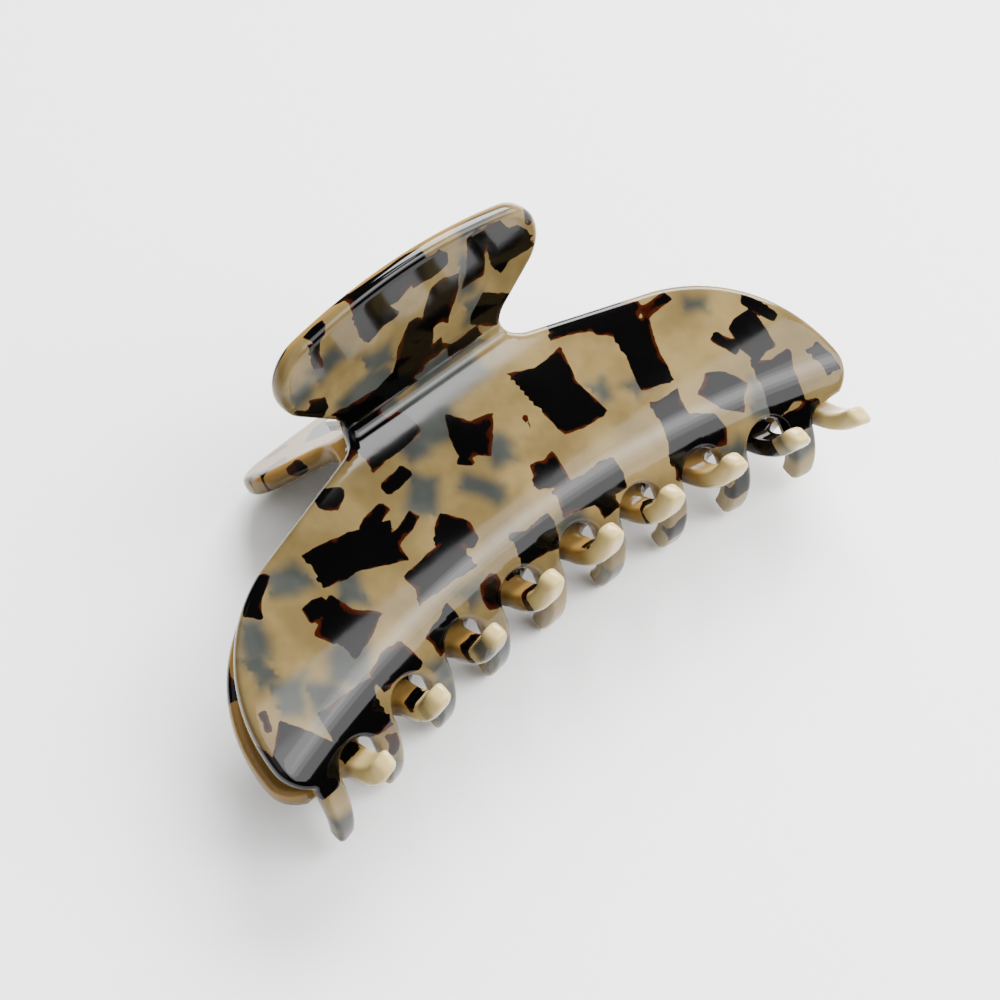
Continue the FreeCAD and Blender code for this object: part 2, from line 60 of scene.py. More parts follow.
HALF = 1.45              # half the thickness of the sheet
HALF_LENGTH = 52.1
FOLD_R, FOLD_REACH, FOLD_HEIGHT = 12.7, 21.9, 4.05
ARCH, SAG, CROWN_R = 8.6, 0.1, 150.0
NECK_R, NECK_HEIGHT, NECK_SETBACK = 4.0, 3.6, 2.0
FLARE = 63.0
PITCH, ROOT_W, TIP_W, COUNT = 11.0, 4.2, 2.9, 9
TOOTH, END_TOOTH = 17.3, 11.5
ROOT_ANGLE, END_ANGLE = 30.5, 33.0
NECK_HALF, NOTCH_R, NOTCH_OFF = 14.2, 3.9, 0.8
HANDLE_L, HANDLE_HALF, LOBE_R, EDGE_R = 21.5, 22.9, 6.5, 75.0
SHOULDER_R, SHOULDER_REACH, CORNER_R = 24.1, 31.5, 4.7
TIP_ROUND, END_BLEND, CORNER_ROUND = 1.3, 2.0, 0.4
PIVOT = 4.0
# Radius of the polished edges: on the body and handle, on the teeth, and the v between which
# one becomes the other.
EDGE_ROUND, TOOTH_ROUND = 1.1, 0.85
ROUND_CHANGE = (-34, -27)
# Spacing of the mesh along the outline and inside it, and the depths of the rings by the edge.
OUTLINE_STEP = 0.35
GRID_STEP = 0.55
RINGS = (0.06, 0.2, 0.42, 0.7, 1.05)

GAP_R = (PITCH - ROOT_W) / 2
GAP_ANGLE = ROOT_ANGLE + math.degrees(GAP_R / FOLD_R)
TAPER = (ROOT_W - TIP_W) / 2 / FOLD_R
BEND_HALF = math.radians(FLARE) / 2
NECK_MID = math.radians(270) + BEND_HALF
BEND = NECK_R * BEND_HALF
FLANK = (COUNT - 1) / 2 * PITCH - PITCH / 4 + ROOT_W / 2 + PITCH / 2
NOTCH_ENDS = (192, 190)  # where the notch's arc passes from the handle to the body, degrees
NECK_LINE = 0.05         # height in plan that parts the handle's points from the body's
SAMPLES = 3000


# ---------------------------------------------------------------- where the clip rests

def rest_matrix():
    """Clip frame in millimetres to the rest pose in metres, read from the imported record."""
    record = frame["record"]
    face = next(m for m in record["mounts"] if m["name"] == "front_handle_face")
    tilt = math.atan2(face["axis"][2], face["axis"][1]) - math.radians(90 + FLARE)
    pin = Vector(record["behaviour"]["joints"][0]["pos_m"])
    turn = Matrix.Rotation(tilt, 4, "X")
    start = pin - turn @ Vector((0, PIVOT * MM, 0))
    return Matrix.Translation(start) @ turn @ Matrix.Scale(MM, 4)


REST = rest_matrix()
HALF_TURN = Matrix.Rotation(math.pi, 4, "Y")


# ---------------------------------------------------------------- the bent sheet

def direction(angle):
    return np.stack([np.cos(angle), np.sin(angle)], -1)


def heading(vector):
    return np.arctan2(vector[..., 1], vector[..., 0])


def section(x):
    """Centres and angles of the neck, crown and fold at stations x, in the YZ plane."""
    x = np.asarray(x, float)
    share = (x / HALF_LENGTH) ** 2
    fold = np.stack([-FOLD_REACH - ARCH * share, FOLD_HEIGHT - FOLD_R - SAG * share], -1)
    neck = np.array([-NECK_SETBACK, NECK_HEIGHT + NECK_R])
    span = fold - neck
    length = np.linalg.norm(span, axis=-1)
    to_fold, to_neck = CROWN_R - FOLD_R, CROWN_R + NECK_R
    along = (to_neck ** 2 - to_fold ** 2 + length ** 2) / (2 * length)
    aside = np.sqrt(to_neck ** 2 - along ** 2)
    unit = span / length[..., None]
    normal = np.stack([-unit[..., 1], unit[..., 0]], -1)
    normal = normal * np.where(normal[..., 1:] > 0, -1, 1)
    crown = neck + unit * along[..., None] + normal * aside[..., None]
    neck_end = heading(crown - neck) % (2 * math.pi)
    start, end = heading(neck - crown), heading(fold - crown)
    neck_v = -NECK_R * (NECK_MID - neck_end)
    fold_v = neck_v - CROWN_R * (end - start)
    return neck, crown, fold, start, end, neck_v, fold_v


def place(x, v, h):
    """Points of the sheet in the clip frame."""
    x, v, h = np.broadcast_arrays(np.asarray(x, float), v, h)
    neck, crown, fold, start, end, neck_v, fold_v = section(x)
    inner = (NECK_R - h)[..., None]
    on_handle = (neck + direction(NECK_MID + BEND_HALF) * inner
                 + direction(math.radians(FLARE)) * (v - BEND)[..., None])
    on_neck = neck + direction(NECK_MID + v / NECK_R) * inner
    on_crown = crown + direction(start + (neck_v - v) / CROWN_R) * (CROWN_R + h)[..., None]
    on_fold = fold + direction(end + (fold_v - v) / FOLD_R) * (FOLD_R + h)[..., None]
    yz = np.where((v > fold_v)[..., None], on_crown, on_fold)
    yz = np.where((v > neck_v)[..., None], on_neck, yz)
    yz = np.where((v > BEND)[..., None], on_handle, yz)
    return np.concatenate([x[..., None], yz], -1)


def v_at_turn(x, turn):
    """v where the fold has turned by an angle."""
    *_, end, _, fold_v = section(x)
    return fold_v - FOLD_R * (np.radians(90 + turn) - end)


# ---------------------------------------------------------------- outline of the sheet

def tooth_x(number):
    return (number - (COUNT + 1) / 2) * PITCH - PITCH / 4


def tip_turn(x):
    last = (COUNT - 1) / 2 * PITCH + PITCH / 4
    share = min((x / last) ** 2, 1.2)
    return ROOT_ANGLE + math.degrees((TOOTH + (END_TOOTH - TOOTH) * share) / FOLD_R)


def gap_v(gap_x, turn, x, along):
    """v of a point beside a gap, measured along the gap from its start."""
    angle = math.radians(180 + turn)
    shift = section(x)[2] - section(gap_x)[2]
    off = shift[0] * math.cos(angle) + shift[1] * math.sin(angle)
    return v_at_turn(x, turn + math.degrees(math.asin((along - off) / FOLD_R)))


def circle(x, y, radius, start, end):
    count = max(3, int(abs(math.radians(end - start)) * radius / OUTLINE_STEP) + 1)
    return np.array([x, y]) + radius * direction(np.radians(np.linspace(start, end, count)))


def crossing_tangent(ax, ay, ar, bx, by, br):
    """Angles at which a line touches two circles and passes between them."""
    dx, dy = bx - ax, by - ay
    return math.degrees(math.atan2(dy, dx)), math.degrees(math.acos((ar + br) / math.hypot(dx, dy)))


def plan_to_v(x, y):
    """v of a point of the body seen from above."""
    v = np.linspace(v_at_turn(x, 85), 3, SAMPLES)
    return np.interp(y, place(np.full_like(v, x), v, 0 * v)[:, 1], v)


def handle_to_v(y):
    """v of a point of the handle, measured up its plane from the neck line."""
    reach = NECK_R * math.sin(BEND_HALF)
    if y > reach:
        return y - reach + BEND
    return NECK_R * (BEND_HALF - math.asin((reach - y) / NECK_R))


def upper_outline():
    """Right half of the outline, from the middle of the far edge down to the last tooth."""
    far_y = HANDLE_L - EDGE_R
    lobe_x = HANDLE_HALF - LOBE_R
    lobe_y = far_y + math.sqrt((EDGE_R - LOBE_R) ** 2 - lobe_x ** 2)
    meet = math.degrees(math.atan2(lobe_y - far_y, lobe_x))
    notch = (NECK_HALF + NOTCH_R, NOTCH_OFF)
    line, lean = crossing_tangent(lobe_x, lobe_y, LOBE_R, *notch, NOTCH_R)
    handle = np.vstack([circle(0, far_y, EDGE_R, 90, meet),
                        circle(lobe_x, lobe_y, LOBE_R, meet, line + lean),
                        circle(*notch, NOTCH_R, line + lean + 180, NOTCH_ENDS[0])])
    shoulder = (HALF_LENGTH - SHOULDER_R, -SHOULDER_REACH)
    corner_x = HALF_LENGTH - CORNER_R
    line, lean = crossing_tangent(*notch, NOTCH_R, *shoulder, SHOULDER_R)
    low = -math.degrees(math.acos((FLANK - corner_x) / CORNER_R))
    body = np.vstack([circle(*notch, NOTCH_R, NOTCH_ENDS[1], line - lean + 360),
                      circle(*shoulder, SHOULDER_R, line - lean + 180, 0),
                      circle(corner_x, -SHOULDER_REACH, CORNER_R, 0, low)])
    above = [(x, handle_to_v(y)) for x, y in handle if y > NECK_LINE]
    below = [(x, plan_to_v(x, y)) for x, y in body if y < NECK_LINE]
    return np.array(above + below)


def tooth_tip(x, gap_x, turn, side):
    """Corner at the tip of a tooth, whose flank starts at x beside a gap."""
    reach = FOLD_R * math.sin(math.radians(tip_turn(x) - turn))
    tip_x = x + side * TAPER * reach
    return tip_x, v_at_turn(tip_x, tip_turn(tip_x)), TIP_ROUND


def lower_corners():
    """Corners of the teeth from +X to -X, each with the radius that rounds it."""
    corners = [(FLANK, gap_v(tooth_x(COUNT + 0.5), END_ANGLE, FLANK, 0), CORNER_ROUND)]
    for number in range(COUNT, 0, -1):
        right, left = tooth_x(number + 0.5), tooth_x(number - 0.5)
        right_turn = END_ANGLE if number == COUNT else GAP_ANGLE
        left_turn = END_ANGLE if number == 1 else GAP_ANGLE
        if number == COUNT:
            corners.append((right - GAP_R, gap_v(right, right_turn, right - GAP_R, 0), END_BLEND))
        corners.append(tooth_tip(right - GAP_R, right, right_turn, -1))
        corners.append(tooth_tip(left + GAP_R, left, left_turn, 1))
        if number > 1:
            for x in (left + GAP_R, left - GAP_R):
                corners.append((x, gap_v(left, left_turn, x, -GAP_R), GAP_R))
    corners.append((-FLANK, gap_v(tooth_x(0.5), END_ANGLE, -FLANK, 0), 0))
    return corners


def rounded(corners):
    """Outline through the corners, each replaced by an arc."""
    points = [np.array(corner[:2]) for corner in corners]
    out = [points[0][None]]
    for before, here, after, (_, _, radius) in zip(points, points[1:], points[2:], corners[1:]):
        a, b = before - here, after - here
        room = 0.499 * min(np.linalg.norm(a), np.linalg.norm(b))
        a, b = a / np.linalg.norm(a), b / np.linalg.norm(b)
        half = math.acos(np.clip(a @ b, -1, 1)) / 2
        reach = radius / math.tan(half)
        reach = min(reach, GAP_R * 0.999 if radius == GAP_R else room)
        radius = reach * math.tan(half)
        centre = here + (a + b) / np.linalg.norm(a + b) * radius / math.sin(half)
        start = math.degrees(heading(here + a * reach - centre))
        end = math.degrees(heading(here + b * reach - centre))
        sweep = (end - start + 180) % 360 - 180
        out.append(circle(*centre, radius, start, start + sweep))
    out.append(points[-1][None])
    return np.vstack(out)


def outline():
    """Closed outline of the whole sheet in sheet coordinates, with evenly spaced points."""
    upper = upper_outline()
    points = np.vstack([upper, rounded(lower_corners()), upper[::-1] * [-1, 1]])
    out = []
    for a, b in zip(points, np.roll(points, -1, 0)):
        length = np.linalg.norm(b - a)
        if length > 0.02:
            count = int(length / OUTLINE_STEP) + 1
            out += [a + (b - a) * k / count for k in range(count)]
    return np.array(out)


def edge_distance(points, loop):
    """Distance from each point to the closed outline."""
    best = np.full(len(points), 1e9)
    for a, b in zip(loop, np.roll(loop, -1, 0)):
        near = np.abs(points[:, 1] - a[1]) < best
        offset = points[near] - a
        span = b - a
        share = np.clip(offset @ span / (span @ span), 0, 1)
        gap = np.linalg.norm(offset - share[:, None] * span, axis=1)
        best[near] = np.minimum(best[near], gap)
    return best


def inside(points, loop):
    """Which points lie inside the closed outline."""
    odd = np.zeros(len(points), bool)
    for a, b in zip(loop, np.roll(loop, -1, 0)):
        between = (points[:, 1] < a[1]) != (points[:, 1] < b[1])
        rise = b[1] - a[1] if b[1] != a[1] else 1e-9
        crossing = a[0] + (points[:, 1] - a[1]) / rise * (b[0] - a[0])
        odd ^= between & (points[:, 0] < crossing)
    return odd


def flat_mesh(loop):
    """Triangles that fill the outline: fine rings along the edge and a grid inside."""
    before, after = np.roll(loop, 1, 0), np.roll(loop, -1, 0)
    tangent = after - before
    tangent /= np.linalg.norm(tangent, axis=1)[:, None]
    area = np.sum(loop[:, 0] * after[:, 1] - after[:, 0] * loop[:, 1])
    inwards = np.stack([-tangent[:, 1], tangent[:, 0]], -1) * (1 if area > 0 else -1)
    parts = [loop]
    for depth in RINGS:
        ring = loop + inwards * depth
        ring = ring[inside(ring, loop)]
        keep = edge_distance(ring, loop) > depth * 0.97
        parts.append(ring[keep])
    low, high = loop.min(0), loop.max(0)
    rows = np.arange(low[1], high[1], GRID_STEP * math.sqrt(3) / 2)
    columns = np.arange(low[0], high[0], GRID_STEP)
    grid = np.array([(x + (k % 2) * GRID_STEP / 2, v)
                     for k, v in enumerate(rows) for x in columns])
    grid = grid[inside(grid, loop)]
    parts.append(grid[edge_distance(grid, loop) > RINGS[-1] + GRID_STEP * 0.6])
    points = np.vstack(parts)
    count = len(loop)
    edges = [(k, (k + 1) % count) for k in range(count)]
    found = delaunay_2d_cdt([Vector(p) for p in points.tolist()], edges, [], 1, 1e-6)
    return np.array([tuple(p) for p in found[0]]), np.array(found[2])


# ---------------------------------------------------------------- tortoiseshell pattern

# Chips of dark sheet near the polished surface of the front jaw:
# x, v, length, width, and the turn of the length from +x towards +v.
FRONT_INK = (
    (-2.5, 20.5, 13, 5.5, 4), (-6.8, 16.6, 5.5, 5.5, 20), (3.6, 19, 6, 3.4, 8),
    (11.6, 15.6, 7.5, 4, 80), (17.2, 13.8, 6.2, 5.6, 10), (14.6, 17.4, 5, 3, 0),
    (21.3, 16, 2.2, 1.6, 80), (4.4, 12.2, 7, 5, 75), (-1.2, 7.4, 8, 5.6, 65),
    (1.6, 4.6, 5, 2.4, 15), (-8.6, 3.2, 13, 5.4, 6), (12.2, 5, 6.6, 5.2, -40),
    (7.6, 2.2, 6, 3.2, 8), (-18.3, 8.4, 4, 3.4, 60), (-15.2, 20.4, 3.6, 2.4, 30),
    (-16.4, 17, 4.6, 1.5, 85), (-12.4, -0.8, 8, 6, 5), (-20.6, 7.8, 3.6, 3, 50),
    (-10.4, -4.4, 8, 5.2, 0), (-0.5, -11, 6.4, 5.4, 55), (-3.8, -13.6, 2.4, 0.9, -45),
    (7, -14, 2, 0.7, 75), (-22.6, -6.4, 3.4, 3.2, 45), (-13.4, -9.8, 4.6, 1.9, 5),
    (-25.4, -15, 12.6, 5.8, -18), (-19.4, -12.6, 4.6, 1.7, 15), (-17, -16, 5.4, 1.6, 15),
    (-20, -17.6, 4, 1.8, 80), (-32.4, -22.4, 7.6, 6.2, 30), (-34, -18, 3, 2.2, 0),
    (-11.6, -20.6, 5.4, 4, -40), (-17, -23.4, 10.6, 4.8, 0), (-39.4, -11.8, 6, 2.4, 47),
    (-49.1, -26, 3.2, 1.2, 66), (-48.2, -33.4, 8, 6.6, -55), (-52, -29, 5, 1, -85),
    (-30.4, -30, 7, 4.4, 0), (-38.6, -31.6, 7.4, 6.6, 0), (-21.2, -29.6, 5.4, 3.6, 12),
    (-12.3, -29.8, 4.4, 3.2, 80), (-3, -27.2, 6.6, 4.2, 0), (8.2, -26.2, 11, 4.2, -8),
    (4.6, -21.4, 4.8, 4.6, -10), (9.2, -29.2, 3.6, 3.2, 0), (13.9, -14, 12.4, 8.4, 85),
    (22.6, -6.6, 8, 3, -22), (28.4, -9.6, 7, 4.6, -30), (34.4, -11, 5, 1.7, 0),
    (28, -15.8, 11, 5.4, 70), (42.6, -22.6, 6.4, 5, 90), (38.8, -21.6, 4.2, 2, -65),
    (46.6, -20.2, 5.8, 1.5, -64), (49.3, -31.6, 4.6, 2, 90), (33.8, -26.6, 6.4, 4.4, -50),
    (42, -30.6, 7.8, 5.4, 72), (25.4, -25, 6, 4.2, 90), (26, -28.8, 9, 4.4, -15),
    (42, -36, 7, 3, -8), (37, -36.6, 6, 3.2, -30), (22, -31, 4.6, 2.6, 75),
    (-35.8, -38, 3, 2, 70), (19.3, -40, 4, 3.4, 20), (30.2, -39.5, 4, 3.6, 80),
)
# Chips that lie deeper, under a layer of cream: blurred and blue-grey.
FRONT_DEEP = (
    (-15.2, 14.4, 5.4, 3.4, 20), (-19.6, 12.4, 4, 3, 10), (-7, 9.4, 5, 4.6, 0),
    (-10.4, 6, 9, 4.4, 5), (9.4, 13.6, 7, 3, 80), (9.8, 7, 5, 3.2, 80), (15, 20.4, 11, 2, 0),
    (0.4, 20.4, 6, 4, 0), (4, 1.6, 12, 4, 0), (-10, 0, 8, 4, 0),
    (0.5, -2.6, 14, 4.6, 0), (-3.2, -6.8, 6, 6.4, -28), (1.8, -14.3, 3, 2.6, 75),
    (-12, -13.8, 5.6, 4, 45),
    (-4.8, -18, 6, 3, -55), (-8, -8, 5, 3, 0), (-28.4, -18.4, 4, 4.6, -30),
    (-34.6, -12.4, 5, 4, -10), (-43.6, -16.6, 5.4, 3.2, 63), (-44.3, -24.8, 5, 5, -20),
    (-34.8, -26, 6.4, 4.4, 50), (-41, -28.8, 5.6, 4, 57), (1.2, -15, 4, 3, 70),
    (39.2, -14.2, 3.4, 2.4, -30), (18.8, -16.4, 3, 2.4, 80), (38.4, -31.4, 5, 4.4, -50),
    (-15, -28, 4, 3, 0), (3, -28.6, 5, 3, 0), (30, -34, 4, 4, 0), (-24, -34, 4, 4, 0),
    (-46.9, -44.5, 6, 5, 90), (-36.5, -42, 5, 3, 90), (-24.8, -40, 8, 4, 85),
    (-13.8, -40, 8, 4, 90), (8.2, -42, 5, 4, 90), (41.2, -40, 5, 4, 10),
    (13, -34, 4, 4, 20), (-45, -20, 3, 5, 0), (24, -19, 4, 3, 0),
)
# The rear jaw shows mostly its teeth and the tip of its handle, so only those chips are placed
# one by one.  They go through the whole sheet.
REAR_INK = (
    (41.2, -35.6, 2.8, 3.6, 0), (30.2, -38.6, 4, 3.2, 85), (19.4, -37.6, 3.4, 3.2, 60),
    (8.4, -37.6, 3, 3, 30), (-2.6, -38, 3, 4.4, 0), (-13.6, -37, 3, 3, 40),
    (-35.8, -36.6, 8.6, 6, 88), (19.2, 10, 5, 3, 20), (15, 17, 4, 2, 0), (21.8, 13, 2, 2.6, 0),
)
REAR_DEEP = ((19.2, -43, 5, 5, 90), (-35.8, -42.5, 4, 5, 90), (30.4, -43, 2, 3, 90))
REAR_TEETH = -33.0       # chips below this v are on the rear teeth
SCATTER_SEED = 11
# Numbers of scattered chips: dark and deep inside the front jaw, dark and deep on the rear jaw.
INNER_CHIPS, REAR_CHIPS = (46, 30), (44, 34)
SCATTER_LOW, SCATTER_HIGH = (-50, -32), (50, 21)
CHIP_REACH = 4.0         # how far from a chip its distance is kept
CHIP_OVERLAP = -0.6      # least gap between scattered chips, negative where they may overlap


def chip_polygon(chip, rng):
    """Four-sided chip whose corners and middles of sides are jittered."""
    x, v, length, width, turn = chip
    wobble = 0.16 * min(length, width) + 0.05
    corners = np.array([(-1, -1), (0, -1), (1, -1), (1, 0),
                        (1, 1), (0, 1), (-1, 1), (-1, 0)], float)
    corners *= [length / 2, width / 2]
    corners += rng.uniform(-wobble, wobble, corners.shape)
    angle = math.radians(turn)
    spin = np.array([[math.cos(angle), math.sin(angle)], [-math.sin(angle), math.cos(angle)]])
    return corners @ spin + [x, v]


def signed_distance(points, polygon):
    """Distance to a polygon, negative inside."""
    gap = edge_distance(points, polygon)
    return np.where(inside(points, polygon), -gap, gap)


def chip_field(points, chips, rng):
    """Signed distance to the nearest chip, up to a few millimetres away."""
    field = np.full(len(points), CHIP_REACH)
    for chip in chips:
        polygon = chip_polygon(chip, rng)
        low, high = polygon.min(0) - CHIP_REACH, polygon.max(0) + CHIP_REACH
        near = ((points > low) & (points < high)).all(1)
        if near.any():
            field[near] = np.minimum(field[near], signed_distance(points[near], polygon))
    return field


def scattered(rng, count, sizes, taken):
    """Chips thrown at random, mostly clear of the ones already there."""
    chips = []
    while len(chips) < count:
        x, v = rng.uniform(SCATTER_LOW, SCATTER_HIGH)
        length = rng.uniform(*sizes)
        chip = (x, v, length, length * rng.uniform(0.35, 0.85), rng.uniform(0, 180))
        gaps = [math.hypot(x - c[0], v - c[1]) - (length + c[2]) / 2 for c in taken + chips]
        if not gaps or min(gaps) > CHIP_OVERLAP:
            chips.append(chip)
    return chips


# ---------------------------------------------------------------- meshes

def new_object(name, points, faces, matrix):
    mesh = bpy.data.meshes.new(name)
    mesh.from_pydata([tuple(matrix @ Vector(p)) for p in points], [], faces)
    mesh.validate()
    mesh.polygons.foreach_set("use_smooth", [True] * len(mesh.polygons))
    mesh.update()
    item = bpy.data.objects.new(name, mesh)
    bpy.context.scene.collection.objects.link(item)
    return item


def add_attribute(item, name, kind, values):
    layer = item.data.attributes.new(name, kind, "POINT")
    layer.data.foreach_set("vector" if kind == "FLOAT_VECTOR" else "value", np.ravel(values))


def jaw(name, flat_points, triangles, depth, matrix, outer, inner):
    """Closed sheet with round edges.  outer and inner are (near, deep) chip fields."""
    rim = depth < 1e-4
    radius = np.interp(flat_points[:, 1], ROUND_CHANGE, (TOOTH_ROUND, EDGE_ROUND))
    round_share = np.clip(depth / radius, 0, 1)
    height = HALF - radius + radius * np.sqrt(1 - (1 - round_share) ** 2)
    height = np.where(rim, 0, height)
    x, v = flat_points.T
    top = place(x, v, height)
    bottom = place(x, v, -height)[~rim]
    count = len(flat_points)
    below = np.arange(count)
    below[~rim] = count + np.arange((~rim).sum())
    faces = np.vstack([triangles, below[triangles][:, ::-1]])
    points = np.vstack([top, bottom])
    item = new_object(name, points.tolist(), faces.tolist(), matrix)
    sheet = np.vstack([np.stack([x, v, height], -1), np.stack([x, v, -height], -1)[~rim]])
    add_attribute(item, "sheet", "FLOAT_VECTOR", sheet)
    for label, above, under in (("ink", outer[0], inner[0]), ("deep", outer[1], inner[1])):
        add_attribute(item, label, "FLOAT", np.concatenate([above, under[~rim]]))
    return item


def tube(name, path, radius, matrix, sides=20):
    """Round wire along a path of points."""
    path = np.asarray(path, float)
    tangent = np.gradient(path, axis=0)
    tangent /= np.linalg.norm(tangent, axis=1)[:, None]
    normal = np.cross(tangent[0], [0.3, 0.5, 0.8])
    rings = []
    for point, ahead in zip(path, tangent):
        normal = normal - ahead * (normal @ ahead)
        normal /= np.linalg.norm(normal)
        side = np.cross(ahead, normal)
        angles = np.linspace(0, 2 * math.pi, sides, endpoint=False)[:, None]
        rings.append(point + radius * (np.cos(angles) * normal + np.sin(angles) * side))
    faces = []
    for k in range(len(path) - 1):
        for s in range(sides):
            a, b = k * sides + s, k * sides + (s + 1) % sides
            faces.append((a, b, b + sides, a + sides))
    last = (len(path) - 1) * sides
    faces.append(tuple(reversed(range(sides))))
    faces.append(tuple(range(last, last + sides)))
    return new_object(name, np.vstack(rings).tolist(), faces, matrix)


# ---------------------------------------------------------------- the spring

WIRE, WIRE_PITCH, WIRE_TURNS, WIRE_LEG = 0.9, 1.15, 8, 9.5
PLATE, PLATE_GAP = 0.8, 0.05


def pivot_height():
    """Pin axis above the inner face of a handle."""
    inner = -NECK_SETBACK + (NECK_R + HALF) * math.cos(NECK_MID + BEND_HALF)
    up = NECK_HEIGHT + NECK_R + (NECK_R + HALF) * math.sin(NECK_MID + BEND_HALF)
    towards = (math.cos(NECK_MID + BEND_HALF), math.sin(NECK_MID + BEND_HALF))
    return (PIVOT - inner) * towards[0] - up * towards[1]


def spring_path():
    """Wire of the torsion spring: a leg along the front plate, the coil, a leg along the rear."""
    radius = pivot_height() - PLATE - WIRE / 2 - PLATE_GAP
    start = math.radians(90 + FLARE)
    turns = WIRE_TURNS + (2 * math.pi - 2 * start) / (2 * math.pi)
    length = turns * WIRE_PITCH
    angles = start + np.linspace(0, turns * 2 * math.pi, int(turns * 36))
    coil = np.stack([np.linspace(-length / 2, length / 2, len(angles)),
                     PIVOT + radius * np.cos(angles), radius * np.sin(angles)], -1)
    first, last = coil[0] - coil[1], coil[-1] - coil[-2]
    reach = np.linspace(WIRE_LEG, WIRE_LEG / 12, 12)[:, None]
    front_leg = coil[0] + first / np.linalg.norm(first) * reach
    rear_leg = coil[-1] + last / np.linalg.norm(last) * reach[::-1]
    return np.vstack([front_leg, coil, rear_leg]), length


# ---------------------------------------------------------------- materials

CREAM, PALE_CREAM = (0.098, 0.069, 0.026, 1), (0.160, 0.115, 0.046, 1)
# The inward-face cream on the next line is a painted glow of light shining through the sheet.
STREAK, INNER_CREAM_PAINTED_GLOW = (0.088, 0.056, 0.018, 1), (0.20, 0.115, 0.030, 1)
SLATE, PALE_SLATE = (0.018, 0.023, 0.024, 1), (0.034, 0.041, 0.041, 1)
RUST, DARK_RUST = (0.024, 0.0045, 0.0012, 1), (0.012, 0.0018, 0.0008, 1)
BLACK = (0.0009, 0.0008, 0.0008, 1)
# Painted light: paler cream for the thin tips of the teeth, standing in for light through them and
# their highlights.
FRONT_TIPS_PAINTED_LIGHT, REAR_TIPS_PAINTED_LIGHT = (0.18, 0.13, 0.055, 1), (0.42, 0.32, 0.13, 1)
SPRING_STEEL, PLATED_STEEL = (0.55, 0.55, 0.56, 1), (0.62, 0.61, 0.58, 1)


class Nodes:
    """Short way to add and join the nodes of a material."""

    def __init__(self, name):
        self.material = bpy.data.materials.new(name)
        self.material.use_nodes = True
        self.tree = self.material.node_tree
        self.shader = self.tree.nodes["Principled BSDF"]

    def add(self, kind, **inputs):
        """New node; an input is named, or i0, i1 and so on by its place."""
        node = self.tree.nodes.new("ShaderNode" + kind)
        for key, value in inputs.items():
            by_place = key[0] == "i" and key[1:].isdigit()
            key = int(key[1:]) if by_place else key.replace("_", " ")
            self.put(node.inputs[key], value)
        return node

    def put(self, socket, value):
        if isinstance(value, bpy.types.NodeSocket):
            self.tree.links.new(value, socket)
        else:
            socket.default_value = value

    def maths(self, operation, a, b=0.0, c=0.0):
        node = self.add("Math", i0=a, i1=b, i2=c)
        node.operation = operation
        return node.outputs[0]

    def mix(self, factor, a, b):
        node = self.add("Mix")
        node.data_type = "RGBA"
        for index, value in ((0, factor), (6, a), (7, b)):
            self.put(node.inputs[index], value)
        return node.outputs[2]

    def steps(self, value, low, high):
        """0 up to low and 1 from high on, smooth between."""
        node = self.add("MapRange", Value=value, From_Min=low, From_Max=high)
        node.interpolation_type = "SMOOTHSTEP"
        return node.outputs[0]

    def attribute(self, name):
        node = self.tree.nodes.new("ShaderNodeAttribute")
        node.attribute_name = name
        return node

    def noise(self, vector, scale, detail=3.0, rough=0.55):
        node = self.add("TexNoise", Vector=vector, Scale=scale, Detail=detail, Roughness=rough)
        return node.outputs[0]


